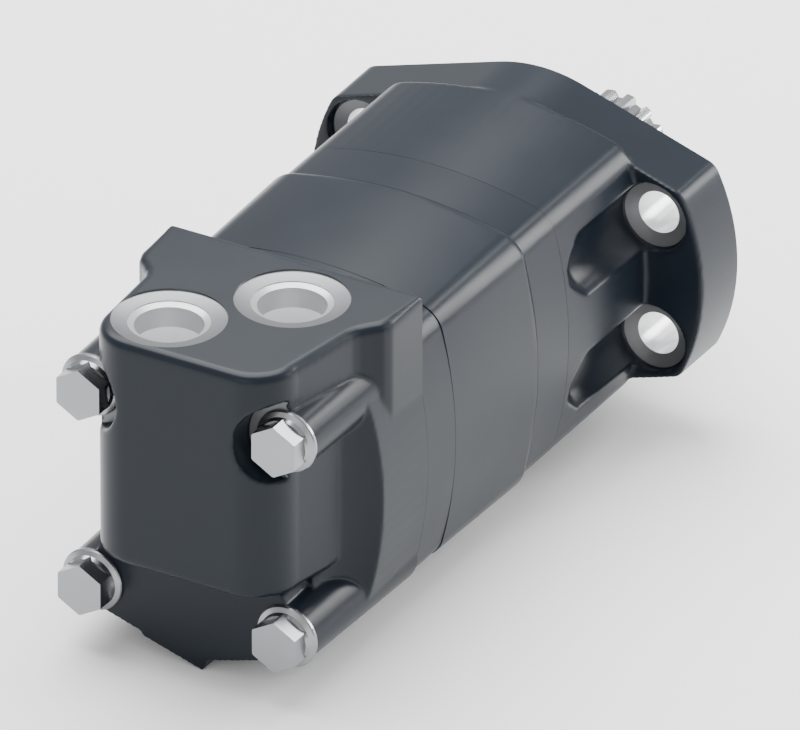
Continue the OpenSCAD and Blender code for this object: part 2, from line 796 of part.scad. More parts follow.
module rear_rollers() {
    color([0.82, 0.83, 0.84])
    at_rear_bearing()
        roller_place(rear_pitch_r, rear_w, rear_roller_count)
            bearing_roller(bearing_roller_len(rear_w), -run_gap);
}

module rear_cage() {
    color([0.60, 0.61, 0.62])
    at_rear_bearing() bearing_cage(rear_pitch_r, rear_w, rear_roller_count);
}

module shaft_seal() {
    y = washer_y + washer_t;
    lip = front_seat_r + run_gap;
    outer = seal_bore_r - seat_gap;
    color([0.16, 0.16, 0.18])
    rotate([-90, 0, 0])
        rotate_extrude()
            polygon([
                [outer, y], [outer, y + seal_t], [lip + 1.5, y + seal_t], [lip + 1.5, y + seal_t - 2],
                [lip, y + seal_t - 3.5], [lip + 1.2, y + 1.5], [lip + 2.6, y + 1.5],
                [lip + 2.6, y + seal_t - 3.5], [outer - 1.2, y + seal_t - 3.5], [outer - 1.2, y]]);
}

module backup_washer() {
    color([0.66, 0.66, 0.68])
    ring(washer_y + seat_gap, washer_y + washer_t - seat_gap, front_seat_r + 0.6, seal_bore_r - seat_gap);
}

module seal_retaining_ring() {
    y0 = washer_y + washer_t + seal_t + 0.4 + seat_gap;
    color([0.40, 0.41, 0.43])
    translate([0, y0, 0])
        rotate([-90, 0, 0])
            rotate([0, 0, 105])
                rotate_extrude(angle = 330)
                    translate([seal_bore_r - 2, 0])
                        square([3.4, circlip_t - 2 * seat_gap]);
}

module dust_seal() {
    y0 = washer_y + washer_t + seal_t + circlip_t + 1;
    lip = front_seat_r + run_gap;
    color([0.16, 0.16, 0.18])
    rotate([-90, 0, 0])
        rotate_extrude()
            polygon([
                [seal_bore_r - seat_gap, y0], [seal_bore_r - seat_gap, pilot_h - 0.5],
                [lip + 1.5, pilot_h - 0.5], [lip, pilot_h], [lip + 0.4, pilot_h - 2.5], [lip + 2.5, y0]]);
}

port_housing();
valve_plate();
gerotor_ring();
wear_plate();
bearing_housing();
housing_bolts();
body_seals();
drain_plug();
drain_plug_seal();
disc_valve();
balance_ring();
balance_springs();
balance_pins();
balance_outer_seal();
balance_inner_seal();
valve_drive();
drive_spacer();
star();
gerotor_roller(0);  // roller_1
gerotor_roller(1);  // roller_2
gerotor_roller(2);  // roller_3
gerotor_roller(3);  // roller_4
gerotor_roller(4);  // roller_5
gerotor_roller(5);  // roller_6
gerotor_roller(6);  // roller_7
main_drive();
output_shaft();
front_cup();
front_cone();
front_rollers();
front_cage();
rear_cup();
rear_cone();
rear_rollers();
rear_cage();
shaft_seal();
backup_washer();
seal_retaining_ring();
dust_seal();
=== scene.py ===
# %% [markdown]
# # An orbital hydraulic motor
#
# This lesson dresses a low-speed hydraulic motor. The motor is a stack of iron castings and plates that
# four long screws clamp together: a port block, a valve plate, the gerotor ring, a wear plate and the
# bearing housing with its mounting flange. A splined shaft comes out at the far end.
#
# The frame holds the exact CAD pieces. The lesson keeps their places, stands softer and finer meshes in
# front of the ones that show, and gives every piece a finish.

# %% Load the frame
import json
import math
import bmesh
import bpy
from mathutils import Matrix, Vector


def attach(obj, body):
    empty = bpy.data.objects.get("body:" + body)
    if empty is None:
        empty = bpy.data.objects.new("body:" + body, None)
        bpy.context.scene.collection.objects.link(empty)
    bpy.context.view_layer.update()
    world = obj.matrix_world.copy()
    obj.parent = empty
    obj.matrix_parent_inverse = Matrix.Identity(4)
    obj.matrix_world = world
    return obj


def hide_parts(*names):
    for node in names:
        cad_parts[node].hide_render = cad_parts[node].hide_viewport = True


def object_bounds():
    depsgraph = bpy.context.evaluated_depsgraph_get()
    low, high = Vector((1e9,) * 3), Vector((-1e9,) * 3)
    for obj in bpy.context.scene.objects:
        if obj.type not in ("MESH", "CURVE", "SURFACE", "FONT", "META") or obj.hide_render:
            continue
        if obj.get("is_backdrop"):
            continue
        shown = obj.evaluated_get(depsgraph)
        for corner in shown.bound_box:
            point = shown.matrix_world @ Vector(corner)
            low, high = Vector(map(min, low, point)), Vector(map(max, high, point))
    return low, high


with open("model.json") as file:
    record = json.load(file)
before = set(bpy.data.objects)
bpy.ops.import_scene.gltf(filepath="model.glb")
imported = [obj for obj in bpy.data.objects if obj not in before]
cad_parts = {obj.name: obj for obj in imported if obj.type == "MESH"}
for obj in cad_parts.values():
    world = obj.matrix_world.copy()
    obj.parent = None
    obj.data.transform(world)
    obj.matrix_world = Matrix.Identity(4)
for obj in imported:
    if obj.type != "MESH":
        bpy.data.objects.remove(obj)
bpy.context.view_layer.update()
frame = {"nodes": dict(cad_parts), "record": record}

# %% [markdown]
# ## Camera
#
# The photograph was taken from far away, so parallel edges stay parallel in it. A camera that is placed
# at the usual distance would make the near end swell. A very long lens from almost eight metres away gives
# nearly the same flat picture and still works for every other view.

# %% Place the camera
CAMERA_LENS = 1200
CAMERA_SENSOR = 36
CAMERA_DISTANCE = 7.775
target = Vector((0.0, -0.08285, -0.01237))
away = Vector((0.433, -0.75, 0.5)).normalized()

camera_data = bpy.data.cameras.new("photo_camera")
camera_data.lens = CAMERA_LENS
camera_data.sensor_width = CAMERA_SENSOR
camera = bpy.data.objects.new("photo_camera", camera_data)
camera.location = target + away * CAMERA_DISTANCE
camera.rotation_euler = away.to_track_quat("Z", "Y").to_euler()
bpy.context.scene.collection.objects.link(camera)
bpy.context.scene.camera = camera
print("camera at", tuple(round(c, 3) for c in camera.location))

# %% [markdown]
# ## The sizes that the pieces share
#
# The stack is described once, as stations along the shaft in millimetres from the mounting face. Each
# casting then takes its ends from this list, so that neighbours meet at the same plane. The places of the
# four long screws and of the four mounting holes are shared in the same way.

# %% Stations and shared sizes
MM = 0.001
STATION = {"flange": -21.0, "neck": -65.0, "wear": -83.0, "ring": -131.0, "plate": -147.0,
           "boss": -203.5, "front": -213.2}
BOLT_AT = 32.5
MOUNT_X = 49.15
MOUNT_Z = 20.36
BOLTS = [(sx * BOLT_AT, sz * BOLT_AT) for sx in (-1, 1) for sz in (-1, 1)]
MOUNTS = [(sx * MOUNT_X, sz * MOUNT_Z) for sx in (-1, 1) for sz in (-1, 1)]
print("the stack is", STATION["neck"] - STATION["boss"], "mm long behind the neck")

# %% [markdown]
# ## Finishes
#
# A product like this has few finishes, and each one is a physical process: paint over cast iron, zinc on
# the screws, grinding on the shaft and the star. Each material here is built from noise on the object's
# own coordinates, so the marks stay where they are when the piece turns. A coarse noise shifts the tint
# and the gloss a little, and a fine one raises the grain. Numbers that are the same all over the surface
# are set on the shader itself, because an export keeps only those.

# %% A helper that makes one finish
PATCH_SCALE = 60
GRAIN_HEIGHT = 0.0002
GLOSS_SPREAD = 0.15


def finish_of(name, color, metallic, roughness, grain, bump, mottle=0.06, shine=0.5, stretch=(1, 1, 1)):
    material = bpy.data.materials.new(name)
    material.use_nodes = True
    tree = material.node_tree
    shader = tree.nodes["Principled BSDF"]
    shader.inputs["Metallic"].default_value = metallic
    shader.inputs["Specular IOR Level"].default_value = shine
    place = tree.nodes.new("ShaderNodeTexCoord")
    mapping = tree.nodes.new("ShaderNodeMapping")
    mapping.inputs["Scale"].default_value = stretch
    tree.links.new(place.outputs["Object"], mapping.inputs["Vector"])
    patches = tree.nodes.new("ShaderNodeTexNoise")
    patches.inputs["Scale"].default_value = PATCH_SCALE
    patches.inputs["Detail"].default_value = 4
    tree.links.new(mapping.outputs["Vector"], patches.inputs["Vector"])
    tint = tree.nodes.new("ShaderNodeMix")
    tint.data_type = "RGBA"
    tint.inputs[6].default_value = [c * (1 - mottle) for c in color] + [1]
    tint.inputs[7].default_value = [min(1, c * (1 + mottle)) for c in color] + [1]
    tree.links.new(patches.outputs["Fac"], tint.inputs[0])
    tree.links.new(tint.outputs[2], shader.inputs["Base Color"])
    gloss = tree.nodes.new("ShaderNodeMapRange")
    gloss.inputs["To Min"].default_value = roughness * (1 - GLOSS_SPREAD)
    gloss.inputs["To Max"].default_value = roughness * (1 + GLOSS_SPREAD)
    tree.links.new(patches.outputs["Fac"], gloss.inputs["Value"])
    tree.links.new(gloss.outputs["Result"], shader.inputs["Roughness"])
    fine = tree.nodes.new("ShaderNodeTexNoise")
    fine.inputs["Scale"].default_value = grain
    fine.inputs["Detail"].default_value = 2
    tree.links.new(mapping.outputs["Vector"], fine.inputs["Vector"])
    relief = tree.nodes.new("ShaderNodeBump")
    relief.inputs["Strength"].default_value = bump
    relief.inputs["Distance"].default_value = GRAIN_HEIGHT
    tree.links.new(fine.outputs["Fac"], relief.inputs["Height"])
    tree.links.new(relief.outputs["Normal"], shader.inputs["Normal"])
    return material


# %% The finishes of this motor
body_paint = finish_of("body_paint", (0.0066, 0.0102, 0.0158), 0.0, 0.30, 380, 0.035, shine=0.2)
cut_iron = finish_of("cut_iron", (0.18, 0.185, 0.19), 0.9, 0.30, 500, 0.06)
reamed_iron = finish_of("reamed_iron", (0.44, 0.45, 0.46), 0.6, 0.30, 500, 0.06, stretch=(4, 4, 0.3))
# Near-white bore finish: painted light that stands for bright reflections in the bores, not bare iron.
painted_light_bore = finish_of("painted_light_bore", (0.90, 0.91, 0.92), 0.3, 0.30, 500, 0.05)
# Lighter metal for the sunk screw seats and the seat dishes: painted light that lifts their shade.
painted_light_seat = finish_of("painted_light_seat", (0.14, 0.145, 0.15), 0.4, 0.38, 500, 0.06)
zinc_plate = finish_of("zinc_plate", (0.26, 0.27, 0.28), 0.95, 0.24, 700, 0.03)
ground_steel = finish_of("ground_steel", (0.40, 0.41, 0.43), 1.0, 0.20, 1500, 0.06, stretch=(1, 8, 1))
bearing_steel = finish_of("bearing_steel", (0.66, 0.67, 0.68), 1.0, 0.14, 1500, 0.03)
hardened_steel = finish_of("hardened_steel", (0.22, 0.225, 0.24), 1.0, 0.36, 900, 0.12)
seal_rubber = finish_of("seal_rubber", (0.018, 0.018, 0.02), 0.0, 0.62, 1400, 0.25)
balance_iron = finish_of("balance_iron", (0.24, 0.235, 0.23), 0.8, 0.42, 800, 0.20)
print("finishes", [m.name for m in bpy.data.materials])

# %% [markdown]
# ## Outlines
#
# The plates share one outline: a rounded square whose sides bulge a little, because the iron is thickest
# between the screws. It is drawn as four wide arcs that run into four small arcs round the screws. The
# flange has wide ends and sloped shoulders. Points are listed densely so that the arcs stay smooth.

# %% Outlines of the body and the flange
QUARTER_TURNS = ((1, 0), (0, 1), (-1, 0), (0, -1))


def arc(cx, cz, radius, start, end, steps):
    turns = [math.radians(start + (end - start) * i / steps) for i in range(steps + 1)]
    return [(cx + radius * math.cos(a), cz + radius * math.sin(a)) for a in turns]


def body_outline(corner=9.6, side=46.4):
    inner = side - corner
    back = (2 * BOLT_AT ** 2 - inner ** 2) / (2 * (inner - BOLT_AT))
    turn = math.degrees(math.atan2(BOLT_AT, BOLT_AT + back))
    quarter = [(x - back, z) for x, z in arc(0, 0, side + back, -turn, turn, 16)][1:-1]
    quarter += arc(BOLT_AT, BOLT_AT, corner, turn, 90 - turn, 16)
    return [(x * c - z * s, x * s + z * c) for c, s in QUARTER_TURNS for x, z in quarter]


def flange_outline(end=66.2, top=47.1, slope=17.6, corner=5.5):
    back = end - corner
    line = 90 - slope
    fillet = line - math.degrees(math.acos((top - corner) / back))
    middle = (back * math.cos(math.radians(fillet)), back * math.sin(math.radians(fillet)))
    quarter = arc(0, 0, end, 0, fillet, 12) + arc(middle[0], middle[1], corner, fillet, line, 12)[1:]
    quarter += arc(0, 0, top, line, 90, 8)
    left = [(-x, z) for x, z in reversed(quarter)][1:-1]
    upper = quarter + left + [(-quarter[0][0], quarter[0][1])]
    return upper + [(x, -z) for x, z in reversed(upper)][1:-1]


print("points in the body outline", len(body_outline()), "and in the flange's", len(flange_outline()))

# %% [markdown]
# ## Solids from outlines
#
# Four ways of making a solid cover the whole motor. A loft joins outlines at several stations, which gives
# draft and small chamfers. A turned piece spins a profile about a line along the shaft. A pillar spins one
# about an upright line. An upright prism raises a plan and rounds its rims. All of them are rings of
# equally many points with a skin between them and a cap at each end, so one list of faces serves all.


# %% Helpers for solids
def new_piece(name, vertices, faces):
    mesh = bpy.data.meshes.new(name)
    mesh.from_pydata([[c * MM for c in v] for v in vertices], [], faces)
    work = bmesh.new()
    work.from_mesh(mesh)
    bmesh.ops.remove_doubles(work, verts=work.verts, dist=1e-7)
    bmesh.ops.recalc_face_normals(work, faces=work.faces)
    work.to_mesh(mesh)
    work.free()
    piece = bpy.data.objects.new(name, mesh)
    bpy.context.scene.collection.objects.link(piece)
    return piece


def skin_faces(count, rings):
    faces = []
    for j in range(rings - 1):
        for i in range(count):
            after = (i + 1) % count
            faces.append([j * count + i, j * count + after, (j + 1) * count + after, (j + 1) * count + i])
    return faces + [list(range(count)), list(range((rings - 1) * count, rings * count))]


def circle(radius, centre, steps):
    turns = [2 * math.pi * i / steps for i in range(steps)]
    return [(centre[0] + radius * math.cos(a), centre[1] + radius * math.sin(a)) for a in turns]


def loft(name, sections):
    vertices = [(x, y, z) for y, outline in sections for x, z in outline]
    return new_piece(name, vertices, skin_faces(len(sections[0][1]), len(sections)))


def turned(name, profile, centre=(0, 0), steps=96):
    return loft(name, [(y, circle(radius, centre, steps)) for y, radius in profile])


def pillar(name, centre, profile, steps=96):
    vertices = [(x, y, z) for z, radius in profile for x, y in circle(radius, centre, steps)]
    return new_piece(name, vertices, skin_faces(steps, len(profile)))


# %% An upright prism with rounded rims
def shrunk(outline, amount):
    result = []
    for i, (x, z) in enumerate(outline):
        before, after = outline[i - 1], outline[(i + 1) % len(outline)]
        along = Vector((after[0] - before[0], after[1] - before[1])).normalized()
        result.append((x - along.y * amount, z + along.x * amount))
    return result


def upright(name, plan, low, high, edge):
    bends = [math.pi / 2 * (1 - i / 5) for i in range(6)]
    bottom = [(low + edge * (1 - math.sin(a)), edge * (1 - math.cos(a))) for a in bends]
    top = [(high - (z - low), inward) for z, inward in reversed(bottom)]
    vertices = [(x, y, z) for z, inward in bottom + top for x, y in shrunk(plan, inward)]
    return new_piece(name, vertices, skin_faces(len(plan), len(bottom + top)))


# %% [markdown]
# ## Joining, cutting and casting
#
# Booleans do what a milling machine does: a tool is moved into the piece and takes its own shape away. A
# face that is cut takes the finish of its tool, so a bore in painted iron gets its own finish without any
# extra work. A casting is made before it is cut. A voxel skin melts its rough solids into one, smoothing
# rounds what a mould would round, and a decimation takes out the faces that flat stretches don't need.


# %% Helpers that join, cut and cast
def settle(piece):
    """Turns the modifiers into plain mesh."""
    graph = bpy.context.evaluated_depsgraph_get()
    mesh = bpy.data.meshes.new_from_object(piece.evaluated_get(graph))
    piece.modifiers.clear()
    piece.data = mesh
    return piece


def joined(name, pieces):
    """Puts several pieces into one mesh and removes them."""
    work = bmesh.new()
    for piece in pieces:
        work.from_mesh(piece.data)
        bpy.data.objects.remove(piece)
    mesh = bpy.data.meshes.new(name)
    work.to_mesh(mesh)
    work.free()
    result = bpy.data.objects.new(name, mesh)
    bpy.context.scene.collection.objects.link(result)
    return result


def combine(base, tools, operation):
    """Cuts the tools out of the base, adds them or keeps what they share, and removes them."""
    for tool in tools:
        step = base.modifiers.new("combine", "BOOLEAN")
        step.operation = operation
        step.solver = "EXACT"
        step.material_mode = "TRANSFER"
        step.object = tool
        settle(base)
        bpy.data.objects.remove(tool)
    return base


def cast(name, rough, voxel, rounds=7, kept=0.35):
    """Makes one casting with soft edges from rough solids that overlap."""
    piece = joined(name, rough)
    skin = piece.modifiers.new("skin", "REMESH")
    skin.mode = "VOXEL"
    skin.voxel_size = voxel * MM
    soft = piece.modifiers.new("soft", "SMOOTH")
    soft.factor = 0.5
    soft.iterations = rounds
    settle(piece)
    thin = piece.modifiers.new("thin", "DECIMATE")
    thin.ratio = kept
    settle(piece)
    print("the cast skin of", name, "has", len(piece.data.polygons), "faces")
    return piece


# %% Helpers that finish a piece
def shade(piece, angle=30):
    """Smooth shading, but edges sharper than the angle stay crisp."""
    for polygon in piece.data.polygons:
        polygon.use_smooth = True
    piece.data.set_sharp_from_angle(angle=math.radians(angle))
    return piece


def coated(piece, material):
    piece.data.materials.clear()
    piece.data.materials.append(material)
    return piece


def dress(piece, material, body, slot, *nodes):
    """Gives a piece without a finish its material, and stands it in for the CAD nodes."""
    if not any(piece.data.materials):
        coated(piece, material)
    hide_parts(*nodes)
    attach(piece, body)
    print(piece.name, "has", len(piece.data.polygons), "faces")


# %% [markdown]
# ## Port housing, as cast
#
# This casting carries both ports, the disc valve inside and the heads of the four screws. A sand casting
# has no sharp edges: every outer edge and every inner corner is rounded, and only the faces that a cutter
# touched later are crisp. Modelling each of those radii by hand would take long. Here plain solids that
# overlap give the rough shape: an upright block, a waist, a base with a V underneath and four bosses.

# %% Rough shape of the port block
JOINT = STATION["plate"]
PAST_JOINT = JOINT + 2
PAST_FRONT = STATION["front"] - 1.3
BLOCK_LEFT = -30.5
BLOCK_RIGHT = 33.5
BLOCK_CORNER = 14
BLOCK_BOTTOM = -19
BLOCK_TOP = 55.2
BLOCK_EDGE = 2.6
WING_LEFT = -40.0
WING_RIGHT = 44.5
HEAD_ROOM_R = 12.8
SWELL = [(0.0, -28.0), (0.25, -25.5), (0.5, -22.5), (0.75, -20.0), (1.0, -17.0)]


def swell(near, rise):
    """The S-shaped curve in which the block's side widens towards the joint."""
    return [(near + rise * (3 * t * t - 2 * t ** 3), JOINT + back) for t, back in SWELL]


def block_plan():
    nose = STATION["front"] + BLOCK_CORNER
    plan = arc(BLOCK_LEFT + BLOCK_CORNER, nose, BLOCK_CORNER, 180, 270, 16)
    plan += arc(BLOCK_RIGHT - BLOCK_CORNER, nose, BLOCK_CORNER, 270, 360, 16)
    plan += swell(37.6, 6.7)
    plan += [(WING_RIGHT, PAST_JOINT), (WING_LEFT, PAST_JOINT)]
    return plan + swell(-32.0, -7.6)[::-1]


def screw_seat(place, radius):
    return turned("screw_seat", [(PAST_FRONT, radius), (STATION["boss"], radius)], place)


block = upright("block", block_plan(), BLOCK_BOTTOM, BLOCK_TOP, BLOCK_EDGE)
combine(block, [screw_seat(place, HEAD_ROOM_R) for place in BOLTS], "DIFFERENCE")
print("the block has", len(block.data.polygons), "faces")

# %% Waist, base, drain pad and bosses
WAIST_START = JOINT - 44
SIDE_SWEEPS = ((52.5, WAIST_START), (-49.5, WAIST_START))
SWEEP_R = 19
BOSS_R = 9.2
BOSS_ROOT_R = 10.4
V_SLOPE = math.radians(16.5)
V_LOW = -50.9
V_TOP = -12
V_INSET = 6
PAD_X = -6.4
PAD_HALF = 10.9
PAD_RISE = 1.1
PAD_LENGTH = 19
pad_z = V_LOW - PAD_X * math.tan(V_SLOPE)


def v_base():
    side = BOLT_AT + BOSS_R * math.sin(V_SLOPE)
    low = V_LOW + side * math.tan(V_SLOPE)
    return [(-side, low), (0, V_LOW), (side, low), (side - V_INSET, V_TOP), (V_INSET - side, V_TOP)]


def drain_pad():
    c, s = math.cos(V_SLOPE), math.sin(V_SLOPE)
    corners = [(-PAD_HALF, -PAD_RISE), (PAD_HALF, -PAD_RISE), (PAD_HALF, 4), (-PAD_HALF, 4)]
    return [(PAD_X + x * c + z * s, pad_z - x * s + z * c) for x, z in corners]


waist = loft("waist", [(WAIST_START, body_outline()), (PAST_JOINT, body_outline())])
sweeps = [pillar("side_sweep", place, [(-60, SWEEP_R), (60, SWEEP_R)]) for place in SIDE_SWEEPS]
combine(waist, sweeps, "DIFFERENCE")
base = loft("base", [(STATION["boss"], v_base()), (PAST_JOINT, v_base())])
pad = loft("pad", [(STATION["boss"], drain_pad()), (STATION["boss"] + PAD_LENGTH, drain_pad())])
boss_profile = [(STATION["boss"] - 2, BOSS_R), (PAST_JOINT, BOSS_ROOT_R)]
bosses = [turned("boss", boss_profile, place) for place in BOLTS]
port_casting = coated(cast("port_casting", [block, waist, base, pad] + bosses, voxel=0.6), body_paint)

# %% [markdown]
# ## Port housing, machined
#
# After casting, a mill faces the joint and the screw seats, a lathe bores the chamber of the disc valve,
# and a form tool sinks the two ports: a dished spot face, a chamfered rim for the sealing ring and the bore.
# The cuts come after the cast skin, so their edges stay sharp, and each tool carries its own finish.

# %% Cutters for the port housing
PORT_PLACES = ((-12.5, -193.9), (12.5, -166.5))
PASSAGE_BOTTOMS = (12.0, 24.0)
SPOT_FACE = [(57, 17.0), (54.7, 17.0), (54.0, 12.2), (53.9, 4)]
PORT_RIM = [(56, 12.2), (53.7, 12.1), (52.9, 10.2), (46.4, 10.2)]
VALVE_BORE = [(-146, 30.5), (-181, 30.5), (-181, 21.5), (-190, 21.5), (-190, 10), (-198, 10)]
DRAIN_BORE = [(-2.1, 7.4), (-1.1, 7.02), (3.3, 7.02), (3.3, 5.5), (13, 5.5), (13, 2), (30, 2)]
DRAIN_Y = -194.5
SCREW_HOLE_R = 5.11
SEAT_R = 12.5


def port_bore(bottom):
    return [(46.41, 10.19), (36.2, 10.19), (36.2, 7.5), (bottom, 7.5)]


def screw_holes(start, end):
    return [turned("screw_hole", [(start - 1, SCREW_HOLE_R), (end + 1, SCREW_HOLE_R)], place, 48)
            for place in BOLTS]


wide_block = body_outline(40, 75)
joint_face = loft("joint_face", [(JOINT, wide_block), (JOINT + 6, wide_block)])
low_seats = [screw_seat(place, SEAT_R) for place in BOLTS if place[1] < 0]
sunk_seats = [screw_seat(place, SEAT_R) for place in BOLTS if place[1] > 0]
spot_faces = [pillar("spot_face", place, SPOT_FACE) for place in PORT_PLACES]
bores = [pillar("port", place, port_bore(bottom)) for place, bottom in zip(PORT_PLACES, PASSAGE_BOTTOMS)]
rims = [pillar("port_rim", place, PORT_RIM) for place in PORT_PLACES]
drain = pillar("drain_bore", (0, 0), DRAIN_BORE, 64)
lean = Matrix.Translation(Vector((PAD_X, DRAIN_Y, pad_z)) * MM) @ Matrix.Rotation(V_SLOPE, 4, "Y")
drain.data.transform(lean)
print("ports", len(PORT_PLACES), "screw seats", len(low_seats) + len(sunk_seats))

# %% Machine the port housing
combine(port_casting, [
    joined("plain_cuts", [joint_face] + low_seats),
    # Sunk seats round the upper screw heads: the lighter finish is painted light in these recesses.
    coated(joined("sunk_seats", sunk_seats), painted_light_seat),
    coated(turned("valve_bore", VALVE_BORE), cut_iron),
    coated(joined("spot_faces", spot_faces), cut_iron),
    # Port bores below the grey rim band: near-white, painted light for a bright bore bottom.
    coated(joined("port_bores", bores), painted_light_bore),
    coated(joined("port_rims", rims), reamed_iron),
    coated(joined("screw_holes", screw_holes(STATION["boss"] - 0.5, JOINT)), cut_iron),
    coated(drain, cut_iron),
], "DIFFERENCE")
shade(port_casting)
dress(port_casting, body_paint, "root", "painted_casting", "port_housing")

# %% [markdown]
# ## Plates and gerotor ring
#
# The valve plate, the gerotor ring and the wear plate are sawn from bar and ground flat on both sides.
# The thin lines round the body are their joints. A lofted outline with a small chamfer at each end gives
# those lines. The ring's corners swell a little towards the flange and end in a rounded step.

# %% Sections of the plates and the ring
CHAMFER = 0.1


def plain_sections(start, end):
    """One outline all along, with a fine chamfer at both ends."""
    outline = body_outline()
    edge = shrunk(outline, CHAMFER)
    return [(start, edge), (start + CHAMFER, outline), (end - CHAMFER, outline), (end, edge)]


def ring_sections(start, end):
    """The corners swell from 9.9 to 10.8 mm, and a quarter round takes them back to 9.5."""
    sections = [(start, shrunk(body_outline(9.9), CHAMFER)), (start + CHAMFER, body_outline(9.9)),
                (end - 3, body_outline(10.8))]
    for i in range(1, 7):
        turn = math.radians(15 * i)
        sections.append((end - 3 + 2.9 * math.sin(turn), body_outline(9.5 + 1.3 * math.cos(turn))))
    return sections + [(end, shrunk(body_outline(9.5), 0.08))]


print("the ring has", len(ring_sections(STATION["ring"], STATION["wear"])), "sections")

# %% Holes of the plates and the ring
ROLLERS = 7
ROLLER_CIRCLE = 29.5
POCKET_R = 6.85
STAR_ROOM_R = 30.0
WINDOW_CIRCLE = 21.2
WINDOW_R = 2.4
WINDOW_START = 25.714
WINDOW_STEP = 51.4286
VALVE_MIDDLE_R = 11.2
WEAR_MIDDLE_R = 16


def through_hole(start, end, radius, centre=(0, 0), steps=96):
    return turned("through_hole", [(start - 2, radius), (end + 2, radius)], centre, steps)


window_turns = [math.radians(WINDOW_START + i * WINDOW_STEP) for i in range(ROLLERS)]
windows = [(WINDOW_CIRCLE * math.cos(a), WINDOW_CIRCLE * math.sin(a)) for a in window_turns]
pocket_turns = [2 * math.pi * i / ROLLERS for i in range(ROLLERS)]
pockets = [(ROLLER_CIRCLE * math.cos(a), ROLLER_CIRCLE * math.sin(a)) for a in pocket_turns]
print("windows", len(windows), "pockets", len(pockets))


# %% Valve plate, gerotor ring and wear plate
def plate(name, node, stage, sections, round_holes, overlapping=()):
    """A painted plate with its screw holes, and with holes of its own that may overlap each other."""
    piece = coated(loft(name, sections(*stage)), body_paint)
    tools = [joined("holes", screw_holes(*stage) + round_holes)] + list(overlapping)
    combine(piece, [coated(tool, cut_iron) for tool in tools], "DIFFERENCE")
    shade(piece)
    dress(piece, body_paint, "root", "painted_casting", node)


valve_stage = (STATION["plate"], STATION["ring"])
valve_holes = [through_hole(*valve_stage, WINDOW_R, place, 32) for place in windows]
valve_holes.append(through_hole(*valve_stage, VALVE_MIDDLE_R))
plate("valve_face_plate", "valve_plate", valve_stage, plain_sections, valve_holes)

ring_stage = (STATION["ring"], STATION["wear"])
star_room = through_hole(*ring_stage, STAR_ROOM_R, steps=140)
roller_pockets = [through_hole(*ring_stage, POCKET_R, place, 48) for place in pockets]
plate("gerotor_ring_body", "gerotor_ring", ring_stage, ring_sections, [star_room], roller_pockets)

wear_stage = (STATION["wear"], STATION["neck"])
wear_holes = [through_hole(*wear_stage, WEAR_MIDDLE_R)]
plate("wear_face_plate", "wear_plate", wear_stage, plain_sections, wear_holes)

# %% [markdown]
# ## Bearing housing
#
# The neck holds the two taper bearings and takes the threads of the long screws. The flange bolts the
# motor to a machine. Behind each mounting hole the neck is scooped out so that a bolt head or a wrench
# fits. It is made as the port housing was: rough solids, a cast skin, and then the machined faces. The
# neck's roof rises slightly so that it runs into the flange without a step.

# %% Rough casting of the neck and the flange
SCOOP = [(-62, 5.15), (-53, 11.15), (-18.3, 11.15)]
SCOOP_SEAT = [(-24, 11.15), (-18.3, 11.15)]
FLANGE_SIDE = 47.0

neck = loft("neck", [(STATION["neck"] - 2, body_outline()),
                     (STATION["flange"] + 2, body_outline(side=FLANGE_SIDE))])
flange = loft("flange", [(STATION["flange"], shrunk(flange_outline(), CHAMFER)), (2, flange_outline())])
combine(neck, [turned("scoop", SCOOP, place) for place in MOUNTS], "DIFFERENCE")
combine(flange, [turned("scoop_seat", SCOOP_SEAT, place) for place in MOUNTS], "DIFFERENCE")
neck_casting = coated(cast("neck_casting", [neck, flange], voxel=0.65), body_paint)

# %% Machine the flange face, the pilot, the bores and the holes
PILOT = [(-3, 41.25), (5.2, 41.25), (6, 40.45)]
BEARING_BORE = [(-66, 36.72), (-44, 36.72), (-44, 32.52), (-17, 32.52), (-17, 27), (-13, 27), (-13, 24),
                (-2.8, 24), (-2.8, 25.5), (-1.2, 25.5), (-1.2, 24), (7, 24)]
MOUNTING_HOLE = [(-24, 6.75), (2, 6.75)]
SCREW_THREAD = [(-66, 4.8), (-40, 4.8)]
SEAT_DISH = [(-24, 10.4), (-18.4, 10.4), (-16.7, 6.7), (-10, 6.7)]

front_cut = turned("front_cut", [(0, 90), (6, 90)])
back_cut = turned("back_cut", [(STATION["neck"] - 7, 90), (STATION["neck"], 90)])
combine(neck_casting, [joined("faces", [front_cut, back_cut])], "DIFFERENCE")
combine(neck_casting, [coated(turned("pilot_disc", PILOT, steps=128), cut_iron)], "UNION")
holes = [turned("mounting_hole", MOUNTING_HOLE, place, 64) for place in MOUNTS]
threads = [turned("screw_thread", SCREW_THREAD, place, 32) for place in BOLTS]
dishes = [turned("dish", SEAT_DISH, place, 64) for place in MOUNTS]
combine(neck_casting, [
    coated(turned("bearing_bore", BEARING_BORE, steps=128), cut_iron),
    # Mounting holes: near-white, painted light for the bright reflections in the bores.
    coated(joined("mounting_holes", holes), painted_light_bore),
    coated(joined("screw_threads", threads), cut_iron),
    # Dished seats behind the mounting holes: the lighter finish is painted light in their shade.
    coated(joined("seat_dishes", dishes), painted_light_seat),
], "DIFFERENCE")
shade(neck_casting)
dress(neck_casting, body_paint, "root", "painted_casting", "bearing_housing")

# %% [markdown]
# ## One long screw
#
# Four equal screws hold the stack together. A real one is forged: its hexagon has a turned chamfer, and a
# flange under it spreads the load. So a hexagonal prism is cut to the cone that the turning leaves, and
# the flange and the shank are added to it.

# %% One screw
HEAD_FLATS = 14.29
HEAD_HEIGHT = 8.5
seat = STATION["boss"]


def hexagon_prism(start, end, flats):
    reach = flats / 2 / math.cos(math.pi / 6)
    corners = [(reach * math.sin(math.pi / 3 * i), reach * math.cos(math.pi / 3 * i)) for i in range(6)]
    return loft("hexagon", [(start, corners), (end, corners)])


